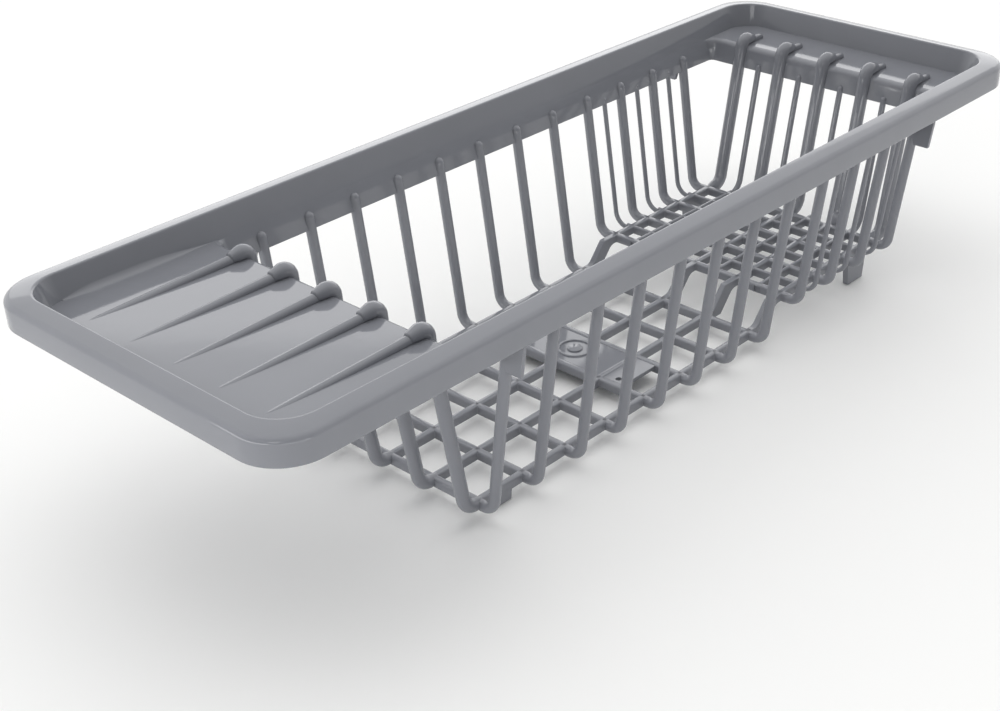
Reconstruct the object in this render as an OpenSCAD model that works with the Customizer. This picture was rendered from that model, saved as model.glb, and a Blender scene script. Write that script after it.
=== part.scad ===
// Over-the-sink dish drying rack, moulded in polypropylene.
// X runs along the rack (drain shelf at -X, end ledge at +X), Y across it, Z up.
// The origin lies on the surface that the feet stand on, under the middle of the rim.

/* [Rim] */
// Length over the rim
rack_l = 480; // [420:1:560]
// Width over the rim
rack_w = 171; // [150:1:200]
// Height of the rim's ridge above the surface that the feet stand on
rack_h = 105; // [85:1:135]
// Outer corner radius of the rim
rim_corner_r = 21; // [17:1:40]
// Width of the rim, from its outer face to the ridge inside
rim_w = 9; // [8:0.5:12]
// Height of the outer skirt
skirt_h = 12.7; // [10:0.1:18]
// Thickness of the rim and of the basket walls
wall_t = 2; // [1.6:0.1:2.6]
// Radius of the shoulder between the top of the rim and the skirt
shoulder_r = 2.7; // [2.2:0.1:4]
// Fall of the rim's top from the ridge to the shoulder
rim_fall = 1; // [0.5:0.1:2]

/* [Basket walls] */
// Depth of the basket walls below the ridge
wall_depth = 23.2; // [20:0.2:30]
// Lean of the basket walls, inward going down, in degrees
wall_lean = 16; // [8:1:18]
// Corner radius where two basket walls meet
wall_corner_r = 6; // [5:0.5:9]
// Length of the drain shelf, from the left end of the rack to the basket
shelf_l = 98.3; // [80:0.5:120]
// Length of the end ledge, from the right end of the rack to the basket
ledge_l = 43.7; // [36:0.5:60]

/* [Drain shelf and end ledge] */
// Depth of both plates' undersides below the ridge, where they meet the basket
plate_depth = 13.8; // [13.5:0.1:17]
// Thickness of both plates
plate_t = 1.8; // [1.5:0.1:2.6]
// Fall of each plate over its length, towards the basket
plate_fall = 1.4; // [0.5:0.1:2]
// Diameter of the ribs on the shelf
shelf_rib_d = 4.2; // [3.4:0.1:5.4]
// Depth of their centre lines below the ridge, at the knobs
shelf_rib_drop = 10.3; // [9:0.1:11]
// Distance from the left end of the rack to where the shelf ribs begin
shelf_rib_gap = 24; // [18:1:40]
// Diameter of the ribs on the ledge
ledge_rib_d = 4; // [3:0.1:5]
// Length of the ribs on the ledge
ledge_rib_l = 17; // [10:0.5:24]
// Height of their ends above the ledge
ledge_rib_end = 2; // [0:0.1:3]
// Depth of their centre lines below the ridge, at the knobs
ledge_rib_drop = 10.2; // [9.5:0.1:11]

/* [Bars] */
// Diameter of the bars of the long sides
side_bar_d = 4.9; // [4:0.1:5.9]
// Diameter of the thin bars between them, over the shallow floor
thin_side_bar_d = 2.4; // [2:0.1:3]
// Diameter of the bars under the shelf
left_bar_d = 5.9; // [4.6:0.1:6.4]
// Diameter of the bars under the ledge
right_bar_d = 6.6; // [4.8:0.1:7]
// Diameter of the thin bars under the ledge
thin_right_bar_d = 3.1; // [2.4:0.1:3.6]
// Diameter of the knobs where the end bars turn onto the plates
knob_d = 6.8; // [6:0.1:7.2]
// Depth of the side bars' round heads below the ridge
side_bar_drop = 17.6; // [16:0.1:19]
// Depth of the thin bars' round heads below the ridge
thin_bar_drop = 21.2; // [19.5:0.1:22]
// Depth of the knobs' centres below the ridge
knob_drop = 8.8; // [8:0.1:9.2]
// Lean of the side bars, inward going down, in degrees
side_lean = 7.86; // [5:0.02:9]
// Lean of the left end bars, in degrees
left_lean = 9.7; // [6:0.1:12]
// Lean of the right end bars, in degrees
right_lean = 11.75; // [6:0.05:13]
// Radius of the bends that turn the side bars into the floor, at their centre line
bend_r = 6; // [5:0.1:8]
// Radius of the same bends of the end bars
end_bend_r = 6.5; // [5:0.1:8]
// Radius of the thin bars' bends
thin_bend_r = 8; // [6:0.1:9]
// Radius of the bend inside a knob
knob_bend_r = 3.8; // [3.7:0.1:5]

/* [Floors] */
// Thickness of the floor ribs
rib_t = 3.4; // [2.6:0.1:4]
// Height of the floor ribs
rib_h = 4.3; // [3.6:0.1:7]
// Thickness of the thin ribs of the shallow floor
thin_rib_t = 2.2; // [1.8:0.1:3]
// Height of the deep floor's ribs above the surface that the feet stand on
deep_floor_z = 4.5; // [4:0.1:12]
// Height of the shallow floor's ribs above that surface
shallow_floor_z = 15; // [12:0.1:24]
// How far a bend's underside hangs below the rib that it runs into
heel_drop = 0.5; // [0:0.1:1]
// How far the thin bars' bends stay above the ribs' undersides
thin_heel_rise = 0.5; // [0:0.1:1.5]
// Distance from a side bar's end to the first rib that runs along the floor
side_margin = 1.9; // [1:0.1:4]
// Distance from the last rib across the floor to the right end bars
end_margin = 3.8; // [2:0.1:6]
// How far a riser runs along the rack while it climbs
riser_run = 9; // [6:0.5:9.5]
// Width of a riser, measured along the rack
riser_w = 9.5; // [6:0.5:10]
// Radius of the fillets where the risers meet the floors
riser_fillet_r = 5; // [2:0.5:5]

/* [Label plate, braces and feet] */
// Thickness of the label plate in the deep floor
label_t = 1.8; // [1.5:0.1:3]
// Distance from the ribs' upper edges down to the label plate
label_recess = 0.4; // [0.2:0.1:2]
// Height of the raised ring on the label plate
label_ring_h = 0.7; // [0.4:0.1:1]
// Diameter of the hole in the label plate
label_hole_d = 3; // [2:0.5:5]
// Thickness of the braces between the skirt and the basket walls
brace_t = 2; // [1.6:0.1:3]
// Distance from a brace to the bar after it
brace_off = 3; // [2:0.1:5]
// Depth of the braces below the ridge
brace_depth = 28; // [25:0.5:34]
// Width of the feet under the deep floor, at their ends
deep_foot_w = 9.5; // [7:0.5:12]
// Width of the feet under the shallow floor, at their ends
shallow_foot_w = 13; // [10:0.5:15]
// Slope of the feet's edges, in degrees
foot_taper = 7.5; // [0:0.5:10]

/* [Hidden] */
$fn = 28;
eps = 0.01;
lap = 0.3;                                   // how far a bar's leg reaches into its bends
step = 0.03;                                 // how much slimmer it is there than the bend
reach = 30;                                  // how far a cutting block reaches past what it cuts
deep_bays = 8;                               // side bars over the deep floor
shallow_bays = 4;                            // side bars over the shallow floor
end_bars = 5;                                // bars at each end
arc_steps = 8;

half_l = rack_l / 2;
half_w = rack_w / 2;
lean_run = tan(wall_lean);
wall_run_t = wall_t / cos(wall_lean);        // wall thickness measured level
skirt_z = rack_h - skirt_h;
wall_z = rack_h - wall_depth;
plate_z = rack_h - plate_depth;

// Inner faces of the basket at the plates' undersides
ridge_y = half_w - rim_w;
open_y = ridge_y - lean_run * plate_depth;
open_left = -half_l + shelf_l;
open_right = half_l - ledge_l;

// Side bars: distance of their heads and feet from the rack's middle plane
side_top_u = ridge_y - lean_run * side_bar_drop + 0.2;
side_top_z = rack_h - side_bar_drop;
thin_top_z = rack_h - thin_bar_drop;
thin_axis_z = shallow_floor_z + thin_heel_rise + thin_side_bar_d / 2;
function heel_z(floor_z, d) = floor_z + d / 2 - heel_drop;

// End bars: distance of their knobs from the rack's middle
knob_z = rack_h - knob_drop;
left_knob_u = -open_left + 0.5;
right_knob_u = open_right + 0.6;

function bar_u(top_u, top_z, lean, z) = top_u - tan(lean) * (top_z - z);
function bend_run(r, lean) = r * tan((90 - lean) / 2);
function arc(cx, cz, r, from, to) = [for (i = [0:arc_steps])
    let (a = from + (to - from) * i / arc_steps) [cx + r * cos(a), cz + r * sin(a)]];

function bar_end(top_u, top_z, lean, axis_z, r) = bar_u(top_u, top_z, lean, axis_z) - bend_run(r, lean);

deep_z = heel_z(deep_floor_z, side_bar_d);
shallow_z = heel_z(shallow_floor_z, side_bar_d);
left_z = heel_z(deep_floor_z, left_bar_d);
right_z = heel_z(shallow_floor_z, right_bar_d);
side_end_deep = bar_end(side_top_u, side_top_z, side_lean, deep_z, bend_r);
side_end_shallow = bar_end(side_top_u, side_top_z, side_lean, shallow_z, bend_r);
thin_end = bar_end(side_top_u, side_top_z, side_lean, thin_axis_z, thin_bend_r);
left_end = -bar_end(left_knob_u, knob_z, left_lean, left_z, end_bend_r);
right_end = bar_end(right_knob_u, knob_z, right_lean, right_z, end_bend_r);
thin_right_end = bar_end(right_knob_u, knob_z, right_lean, thin_axis_z, thin_bend_r);

// The floor lattice
first_x = left_end + rib_t / 2;
last_x = right_end - end_margin - rib_t / 2;
pitch_x = (last_x - first_x) / (deep_bays + shallow_bays - 1);
pitch_y = (side_end_deep - side_margin - rib_t / 2) / ((end_bars - 1) / 2);
function bay_x(i) = first_x + i * pitch_x;
function row_y(j) = (j - (end_bars - 1) / 2) * pitch_y;
last_deep_x = bay_x(deep_bays - 1);
first_shallow_x = bay_x(deep_bays);

// The plates reach past the opening's edge beside its round corners
plate_lap = wall_corner_r + 2;
plate_far = half_l - rim_w;
function plate_rise(edge_u, u) =
    plate_fall * max(0, u - edge_u - wall_run_t) / (plate_far - edge_u - wall_run_t);
function plate_top(edge_u, u) = plate_z + plate_t + plate_rise(edge_u, u);

// Label plate: in the bay that holds the rack's middle, over three rows of ribs
label_bay = 4;
label_half_y = 1.5 * pitch_y;
label_x0 = bay_x(label_bay) + rib_t / 2;
label_x1 = bay_x(label_bay + 1) - rib_t / 2;
label_z = deep_floor_z + rib_h - label_recess - label_t;

// ---- Rim -------------------------------------------------------------------

// Section of the rim: X is the distance in from the outer face, Y the height above the ridge
module rim_section() {
    r_in = shoulder_r - wall_t;
    polygon(concat(
        [[0, -skirt_h]],
        arc(shoulder_r, -rim_fall - shoulder_r, shoulder_r, 180, 100),
        [[rim_w, 0], [rim_w + lean_run * plate_depth, -plate_depth]],
        [[rim_w + lean_run * plate_depth - wall_run_t, -plate_depth]],
        [[rim_w - wall_run_t + lean_run * wall_t, -wall_t]],
        arc(shoulder_r, -rim_fall - shoulder_r, r_in, 100, 180),
        [[wall_t, -skirt_h]]
    ));
}

// A straight rail along +X, centred, with its outer face on Y = -out
module rail(length, out) {
    translate([-length / 2, -out, rack_h])
        rotate([90, 0, 90])
            linear_extrude(length) rim_section();
}

module long_rail() {
    color("#8c8e93") rail(rack_l - 2 * rim_corner_r, half_w);
}

module end_rail() {
    color("#8c8e93") rotate([0, 0, -90]) rail(rack_w - 2 * rim_corner_r, half_l);
}

// The corner at -X, -Y
module rim_corner() {
    color("#8a8c91")
        translate([-half_l + rim_corner_r, -half_w + rim_corner_r, rack_h])
            rotate([0, 0, 180])
                rotate_extrude(angle = 90)
                    translate([rim_corner_r, 0]) mirror([1, 0]) rim_section();
}

// ---- Basket walls ----------------------------------------------------------

// Section of a basket wall below the plates: X is the distance out from the inner face at its top
module wall_section(inset = 0) {
    h = wall_depth - plate_depth;
    low = lean_run * h;
    out = wall_run_t - inset;
    polygon([[inset, 0], [inset - low, -h], [out - low, -h], [out, 0]]);
}

module long_wall() {
    color("#7c7f84")
        translate([open_left + wall_corner_r, -open_y, plate_z])
            rotate([90, 0, 90]) mirror([1, 0, 0])
                linear_extrude(open_right - open_left - 2 * wall_corner_r) wall_section();
}

// An end wall on the +X side of the basket, with the two round corners beside it
module end_wall(x) {
    straight = 2 * (open_y - wall_corner_r);
    color("#7c7f84") translate([x, 0, plate_z]) {
        translate([0, straight / 2 + lap, 0]) rotate([90, 0, 0])
            linear_extrude(straight + 2 * lap) wall_section(step);
        for (side = [-1, 1])
            translate([-wall_corner_r, side * straight / 2, 0])
                rotate([0, 0, side > 0 ? 0 : -90])
                    rotate_extrude(angle = 90) translate([wall_corner_r, 0]) wall_section();
    }
}

// ---- Drain shelf and end ledge ---------------------------------------------

// Everything inside the rim's inner wall, cut off below its lower edge
module rim_inside(x0, x1) {
    mid = rim_w + lean_run * plate_depth - wall_run_t / 2;
    r = rim_corner_r - mid;
    translate([0, 0, plate_z]) linear_extrude(plate_depth) intersection() {
        union() {
            square([2 * (half_l - mid - r), 2 * (half_w - mid)], center = true);
            square([2 * (half_l - mid), 2 * (half_w - mid - r)], center = true);
            for (sx = [-1, 1], sy = [-1, 1])
                translate([sx * (half_l - mid - r), sy * (half_w - mid - r)]) circle(r);
        }
        translate([x0, -half_w]) square([x1 - x0, rack_w]);
    }
}

// The basket's opening with its round corners, as seen from above
module opening_block() {
    r = wall_corner_r;
    translate([0, 0, plate_z - reach]) linear_extrude(2 * reach) {
        translate([open_left, -open_y + r]) square([open_right - open_left, 2 * (open_y - r)]);
        translate([open_left + r, -open_y - 1]) square([open_right - open_left - 2 * r, 2 * open_y + 2]);
        for (x = [open_left + r, open_right - r], y = [-open_y + r, open_y - r])
            translate([x, y]) circle(r);
    }
}

// A sloping slab: its underside is at the plate level at x_low and rises over x_low to x_high
module plate_slab(edge_u) {
    bend_u = edge_u + wall_run_t;
    rotate([90, 0, 0]) translate([0, 0, -half_w]) linear_extrude(rack_w)
        polygon([
            [edge_u - plate_lap, plate_z], [bend_u, plate_z], [plate_far, plate_z + plate_fall],
            [plate_far, plate_top(edge_u, plate_far)], [bend_u, plate_z + plate_t],
            [edge_u - plate_lap, plate_z + plate_t]
        ]);
}

// Level over the end wall, then rising to the rim
module plate(turn, edge_u) {
    color("#9fa2a7") difference() {
        rotate([0, 0, turn]) intersection() {
            plate_slab(edge_u);
            rim_inside(edge_u - plate_lap, plate_far);
        }
        opening_block();
        rim_walls();
    }
}

// The rim's inner wall all round, as a block that plates are cut back to
module rim_walls() {
    for (side = [0, 1]) rotate([0, 0, 180 * side]) {
        long_rail();
        end_rail();
        rim_corner();
        mirror([0, 1, 0]) rim_corner();
    }
}

module drain_shelf() { plate(180, -open_left); }
module end_ledge() { plate(0, open_right); }

// ---- Bars ------------------------------------------------------------------

// Bars are drawn in the XZ plane with +X outward, then turned to their side.
// A straight leg from its head down to a bend that ends level, pointing inward.
module bent_leg(head_u, head_z, lean, axis_z, r, d, top_lap = 0) {
    foot_u = bar_u(head_u, head_z, lean, axis_z);
    cu = foot_u - bend_run(r, lean);
    cz = axis_z + r;
    start_u = cu + r * cos(lean);
    start_z = cz - r * sin(lean);
    translate([start_u, 0, start_z]) rotate([0, lean, 0])
        translate([0, 0, -lap])
            cylinder(h = (head_z - start_z) / cos(lean) + lap + top_lap, d = d - 2 * step);
    translate([cu, 0, cz]) rotate([90, 0, 0]) rotate([0, 0, -90])
        rotate_extrude(angle = 90 - lean) translate([r, 0]) circle(d = d);
}

// What lies outside a basket wall's inner face, between two heights
module outside_wall(face_u, top_z) {
    rotate([90, 0, 0]) translate([0, 0, -reach]) linear_extrude(2 * reach)
        polygon([
            [face_u - lean_run * (plate_z - wall_z), wall_z],
            [face_u + lean_run * (top_z - plate_z), top_z],
            [face_u + reach, top_z],
            [face_u + reach, wall_z]
        ]);
}

// A bar of the long sides, standing proud of the wall's face up to its round head
module side_bar(d, drop, floor_axis_z, r) {
    head_z = rack_h - drop;
    head_u = bar_u(side_top_u, side_top_z, side_lean, head_z);
    difference() {
        union() {
            bent_leg(head_u, head_z, side_lean, floor_axis_z, r, d);
            translate([head_u, 0, head_z]) sphere(d = d);
        }
        outside_wall(open_y, rack_h - drop + d);
    }
}

module thick_side_bars(from, to, floor_axis_z) {
    color("#85878c") for (i = [from:to])
        translate([bay_x(i), 0, 0]) rotate([0, 0, -90])
            side_bar(side_bar_d, side_bar_drop, floor_axis_z, bend_r);
}

module thin_side_bars() {
    color("#7a7c81") for (i = [deep_bays:deep_bays + shallow_bays - 2])
        translate([bay_x(i + 0.5), 0, 0]) rotate([0, 0, -90])
            side_bar(thin_side_bar_d, thin_bar_drop, thin_axis_z, thin_bend_r);
}

// What a plate fills, from the opening's edge outward
module in_plate(edge_u) {
    rotate([90, 0, 0]) translate([0, 0, -reach]) linear_extrude(2 * reach)
        polygon([
            [edge_u, plate_z - eps], [edge_u, plate_z + plate_t], [edge_u + wall_run_t, plate_z + plate_t],
            [plate_far, plate_top(edge_u, plate_far)], [plate_far, plate_z - eps]
        ]);
}

// An end bar: its leg, and the knob that turns it outward onto the plate
module end_bar(knob_u, lean, floor_axis_z, d, face_u) {
    run = bend_run(knob_bend_r, lean);
    leg_z = knob_z - run * cos(lean);
    leg_u = knob_u - run * sin(lean);
    difference() {
        union() {
            bent_leg(leg_u, leg_z, lean, floor_axis_z, end_bend_r, d, lap);
            translate([knob_u + run, 0, knob_z - knob_bend_r]) rotate([90, 0, 0]) rotate([0, 0, 90])
                rotate_extrude(angle = 90 - lean) translate([knob_bend_r, 0]) circle(d = knob_d);
        }
        outside_wall(face_u, plate_z);
        in_plate(face_u);
    }
}

module left_bar(j) {
    color("#8e9095") translate([0, row_y(j), 0]) rotate([0, 0, 180])
        end_bar(left_knob_u, left_lean, left_z, left_bar_d, -open_left);
}

module right_bar(j) {
    color("#808287") translate([0, row_y(j), 0])
        end_bar(right_knob_u, right_lean, right_z, right_bar_d, open_right);
}

module thin_right_bars() {
    head_z = thin_top_z;
    head_u = bar_u(right_knob_u, knob_z, right_lean, head_z);
    color("#7a7c81") for (j = [0:end_bars - 2])
        translate([0, row_y(j + 0.5), 0]) difference() {
            union() {
                bent_leg(head_u, head_z, right_lean, thin_axis_z, thin_bend_r, thin_right_bar_d);
                translate([head_u, 0, head_z]) sphere(d = thin_right_bar_d);
            }
            outside_wall(open_right, plate_z);
        }
}

// ---- Ribs on the plates ----------------------------------------------------

// A round rod that starts at a knob and sinks into the plate, until left_over of it stands proud
module plate_rib(knob_u, lean, axis_z, d, length, edge_u, left_over = 0) {
    start_u = knob_u + bend_run(knob_bend_r, lean);
    drop = axis_z + d / 2 - left_over - plate_top(edge_u, start_u + length);
    sink = atan(drop / length);
    difference() {
        translate([start_u, 0, axis_z]) rotate([0, 90 + sink, 0])
            translate([0, 0, -d]) cylinder(h = length + (left_over > 0 ? d : 2 * d), d = d);
        translate([start_u - 2 * d, -d, knob_z - 2 * d]) cube([2 * d, 2 * d, 4 * d]);
        in_plate(edge_u);
        translate([edge_u, -d, plate_z - d]) cube([plate_far - edge_u, 2 * d, d + eps]);
    }
}

module shelf_rib(j) {
    color("#989ba0") translate([0, row_y(j), 0]) rotate([0, 0, 180])
        plate_rib(left_knob_u, left_lean, rack_h - shelf_rib_drop, shelf_rib_d, shelf_l - shelf_rib_gap,
            -open_left);
}

module ledge_ribs() {
    color("#989ba0") for (j = [0:end_bars - 1]) translate([0, row_y(j), 0])
        plate_rib(right_knob_u, right_lean, rack_h - ledge_rib_drop, ledge_rib_d, ledge_rib_l, open_right,
            ledge_rib_end);
}

// ---- Floors ----------------------------------------------------------------

module long_rib(x0, x1, y, z, t) {
    translate([x0, y - t / 2, z]) cube([x1 - x0, t, rib_h]);
}

module cross_rib(x, half_y, z, t) {
    translate([x - t / 2, -half_y, z]) cube([t, 2 * half_y, rib_h]);
}

// Ribs along the rack are cut from below where they cross ribs across it, which are cut from above
module lower_half(z) {
    translate([-half_l, -half_w, z - rib_h]) cube([rack_l, rack_w, rib_h * 1.5]);
}

module upper_half(z) {
    translate([-half_l, -half_w, z + rib_h / 2]) cube([rack_l, rack_w, rib_h]);
}

module deep_long_set() {
    for (j = [0:end_bars - 1])
        long_rib(left_end, last_deep_x + rib_t / 2, row_y(j), deep_floor_z, rib_t);
}

module deep_cross_set() {
    for (i = [0:deep_bays - 1]) cross_rib(bay_x(i), side_end_deep, deep_floor_z, rib_t);
}

module shallow_long_set() {
    for (j = [0:end_bars - 1])
        long_rib(first_shallow_x - rib_t / 2, right_end, row_y(j), shallow_floor_z, rib_t);
}

module thin_long_set() {
    for (j = [0:end_bars - 2])
        long_rib(first_shallow_x + rib_t / 2, thin_right_end, row_y(j + 0.5), shallow_floor_z, thin_rib_t);
}

module shallow_cross_set() {
    for (i = [deep_bays:deep_bays + shallow_bays - 1])
        cross_rib(bay_x(i), side_end_shallow, shallow_floor_z, rib_t);
}

module thin_cross_set() {
    for (i = [deep_bays:deep_bays + shallow_bays - 2])
        cross_rib(bay_x(i + 0.5), thin_end, shallow_floor_z, thin_rib_t);
}

module label_block(z, h) {
    translate([label_x0, -label_half_y, z]) cube([label_x1 - label_x0, 2 * label_half_y, h]);
}

module deep_long_ribs() {
    color("#75777c") difference() {
        deep_long_set();
        intersection() { deep_cross_set(); lower_half(deep_floor_z); }
        label_block(label_z, label_t);
        translate([label_x0, -rib_t, deep_floor_z - 1])
            cube([label_x1 - label_x0, 2 * rib_t, rib_h + 2]);
    }
}

module deep_cross_ribs() {
    color("#75777c") difference() {
        deep_cross_set();
        intersection() { deep_long_set(); upper_half(deep_floor_z); }
    }
}

module shallow_long_ribs() {
    color("#75777c") difference() {
        shallow_long_set();
        intersection() {
            union() { shallow_cross_set(); thin_cross_set(); }
            lower_half(shallow_floor_z);
        }
    }
}

module thin_long_ribs() {
    color("#707277") difference() {
        thin_long_set();
        intersection() {
            union() { shallow_cross_set(); thin_cross_set(); }
            lower_half(shallow_floor_z);
        }
    }
}

module shallow_cross_ribs() {
    color("#75777c") difference() {
        shallow_cross_set();
        intersection() {
            union() { shallow_long_set(); thin_long_set(); }
            upper_half(shallow_floor_z);
        }
    }
}

module thin_cross_ribs() {
    color("#707277") difference() {
        thin_cross_set();
        intersection() {
            union() { shallow_long_set(); thin_long_set(); }
            upper_half(shallow_floor_z);
        }
    }
}

// A riser climbs from the deep floor to the shallow one between two cross ribs
module riser_section() {
    x0 = last_deep_x + rib_t / 2;
    x1 = first_shallow_x - rib_t / 2;
    low = deep_floor_z;
    high = shallow_floor_z;
    climb = high - low;
    r = riser_fillet_r;
    slope = atan(climb / riser_run);
    tan_len = r * tan(slope / 2);
    run_to = function (z) (x0 + x1) / 2 + (z - (low + high + rib_h) / 2) * riser_run / climb;
    half = riser_w / 2;
    polygon(concat(
        [[x0, low], [run_to(low) + half, low]],
        arc(run_to(high) + half + tan_len, high - r, r, 90 + slope, 90),
        [[x1, high], [x1, high + rib_h], [run_to(high + rib_h) - half, high + rib_h]],
        arc(run_to(low + rib_h) - half - tan_len, low + rib_h + r, r, slope - 90, -90),
        [[x0, low + rib_h]]
    ));
}

module floor_risers() {
    color("#75777c") for (j = [0:end_bars - 1])
        translate([0, row_y(j) + rib_t / 2, 0]) rotate([90, 0, 0]) linear_extrude(rib_t) riser_section();
}

// ---- Label plate, braces and feet ------------------------------------------

module label_plate() {
    cx = (label_x0 + label_x1) / 2;
    ring_r = (label_x1 - label_x0) * 0.36;
    top = label_z + label_t;
    color("#a2a5aa") difference() {
        union() {
            label_block(label_z, label_t);
            translate([cx, 0, top]) difference() {
                cylinder(h = label_ring_h, r = ring_r);
                translate([0, 0, -1]) cylinder(h = label_ring_h + 2, r = ring_r - 1.2);
            }
            translate([cx, 0, top]) cylinder(h = label_ring_h, r = ring_r * 0.45);
        }
        translate([label_x0 + 3, -label_half_y + 5, label_z - 1])
            cylinder(h = label_t + 2, d = label_hole_d);
    }
}

// A brace hangs in the rim between the skirt and the basket wall, on the front side
module brace(x) {
    skirt_in = half_w - wall_t;
    wall_out = function (depth) ridge_y + wall_run_t - lean_run * depth;
    top = 9;
    color("#6f7176") translate([x - brace_t / 2, 0, rack_h]) rotate([90, 0, 90]) linear_extrude(brace_t)
        polygon([
            [-skirt_in, -top], [-skirt_in, -skirt_h],
            [-skirt_in + 2.2, -brace_depth], [-wall_out(wall_depth) - 1.5, -brace_depth],
            [-wall_out(wall_depth), -wall_depth], [-wall_out(top), -top]
        ]);
}

// A foot hangs from the outermost long rib, on the front side, and narrows going down
module foot(x, w, h) {
    flare = tan(foot_taper) * h;
    color("#7c7e83") translate([x, row_y(0) + rib_t / 2, 0]) rotate([90, 0, 0]) linear_extrude(rib_t)
        polygon([[-w / 2, 0], [w / 2, 0], [w / 2 + flare, h], [-w / 2 - flare, h]]);
}

brace_left_x = bay_x(0) - brace_off;
brace_right_x = bay_x(deep_bays + shallow_bays - 1) - brace_off;
module left_foot() { foot(bay_x(0.5), deep_foot_w, deep_floor_z); }
module right_foot() { foot(bay_x(deep_bays + shallow_bays - 1.5), shallow_foot_w, shallow_floor_z); }

// ---- The rack --------------------------------------------------------------

long_rail();  // rim_front
mirror([0, 1, 0]) long_rail();  // rim_back
end_rail();  // rim_left
mirror([1, 0, 0]) end_rail();  // rim_right
rim_corner();  // rim_corner_front_left
mirror([1, 0, 0]) rim_corner();  // rim_corner_front_right
mirror([0, 1, 0]) rim_corner();  // rim_corner_back_left
rotate([0, 0, 180]) rim_corner();  // rim_corner_back_right
long_wall();  // wall_front
mirror([0, 1, 0]) long_wall();  // wall_back
mirror([1, 0, 0]) end_wall(-open_left);  // wall_left
end_wall(open_right);  // wall_right
drain_shelf();
end_ledge();
for (i = [1:end_bars]) shelf_rib(i - 1);
for (i = [1:end_bars]) left_bar(i - 1);
for (i = [1:end_bars]) right_bar(i - 1);
thin_right_bars();
ledge_ribs();
thick_side_bars(0, deep_bays - 1, deep_z);  // front_deep_bars
mirror([0, 1, 0]) thick_side_bars(0, deep_bays - 1, deep_z);  // back_deep_bars
thick_side_bars(deep_bays, deep_bays + shallow_bays - 1, shallow_z);  // front_shallow_bars
mirror([0, 1, 0]) thick_side_bars(deep_bays, deep_bays + shallow_bays - 1, shallow_z);  // back_shallow_bars
thin_side_bars();  // front_thin_bars
mirror([0, 1, 0]) thin_side_bars();  // back_thin_bars
deep_long_ribs();
deep_cross_ribs();
floor_risers();
shallow_long_ribs();
shallow_cross_ribs();
thin_long_ribs();
thin_cross_ribs();
label_plate();
brace(brace_left_x);  // brace_front_left
brace(brace_right_x);  // brace_front_right
mirror([0, 1, 0]) brace(brace_left_x);  // brace_back_left
mirror([0, 1, 0]) brace(brace_right_x);  // brace_back_right
left_foot();  // foot_front_left
right_foot();  // foot_front_right
mirror([0, 1, 0]) left_foot();  // foot_back_left
mirror([0, 1, 0]) right_foot();  // foot_back_right
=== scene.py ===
import math

import bmesh
import bpy
from mathutils import Matrix, Vector


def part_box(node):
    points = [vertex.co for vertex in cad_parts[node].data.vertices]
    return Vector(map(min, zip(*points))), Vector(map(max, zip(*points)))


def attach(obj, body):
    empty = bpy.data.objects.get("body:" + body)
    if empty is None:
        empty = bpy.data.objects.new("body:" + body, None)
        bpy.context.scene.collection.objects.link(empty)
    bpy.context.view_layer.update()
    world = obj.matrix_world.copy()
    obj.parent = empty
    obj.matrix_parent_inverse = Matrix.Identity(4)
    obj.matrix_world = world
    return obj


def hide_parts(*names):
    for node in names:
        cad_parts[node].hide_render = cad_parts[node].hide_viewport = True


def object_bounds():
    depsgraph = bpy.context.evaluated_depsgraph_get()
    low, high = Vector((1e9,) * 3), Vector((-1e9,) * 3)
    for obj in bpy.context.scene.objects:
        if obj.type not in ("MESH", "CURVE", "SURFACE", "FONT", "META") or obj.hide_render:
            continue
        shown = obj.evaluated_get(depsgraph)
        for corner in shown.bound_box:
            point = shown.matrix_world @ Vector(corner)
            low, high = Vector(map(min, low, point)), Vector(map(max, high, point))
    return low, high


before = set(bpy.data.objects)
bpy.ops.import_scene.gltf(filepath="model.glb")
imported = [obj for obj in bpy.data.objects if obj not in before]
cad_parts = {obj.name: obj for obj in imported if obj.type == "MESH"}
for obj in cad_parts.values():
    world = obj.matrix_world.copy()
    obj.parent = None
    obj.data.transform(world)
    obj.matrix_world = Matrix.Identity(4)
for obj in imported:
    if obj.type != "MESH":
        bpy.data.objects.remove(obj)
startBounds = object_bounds()
print("frame loaded")

mm = 0.001


def nodeBox(node):
    low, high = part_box(node)
    return [c / mm for c in low], [c / mm for c in high]


def middle(node, axis):
    low, high = nodeBox(node)
    return (low[axis] + high[axis]) / 2


# ---- Mesh helpers: everything is worked out in millimetres ----

class Shape:
    def __init__(self):
        self.points = []
        self.faces = []

    def loft(self, sections, closedPath=False, caps=True):
        start = len(self.points)
        count = len(sections[0])
        for section in sections:
            self.points.extend(section)
        rings = len(sections)
        for i in range(rings if closedPath else rings - 1):
            a = start + i * count
            b = start + ((i + 1) % rings) * count
            for j in range(count):
                k = (j + 1) % count
                self.faces.append((a + j, a + k, b + k, b + j))
        if caps and not closedPath:
            self.faces.append(tuple(range(start, start + count)))
            last = start + (rings - 1) * count
            self.faces.append(tuple(range(last, last + count)))

    def slab(self, outline, low, high):
        self.loft([[(x, y, low(x)) for x, y in outline], [(x, y, high(x)) for x, y in outline]])


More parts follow.
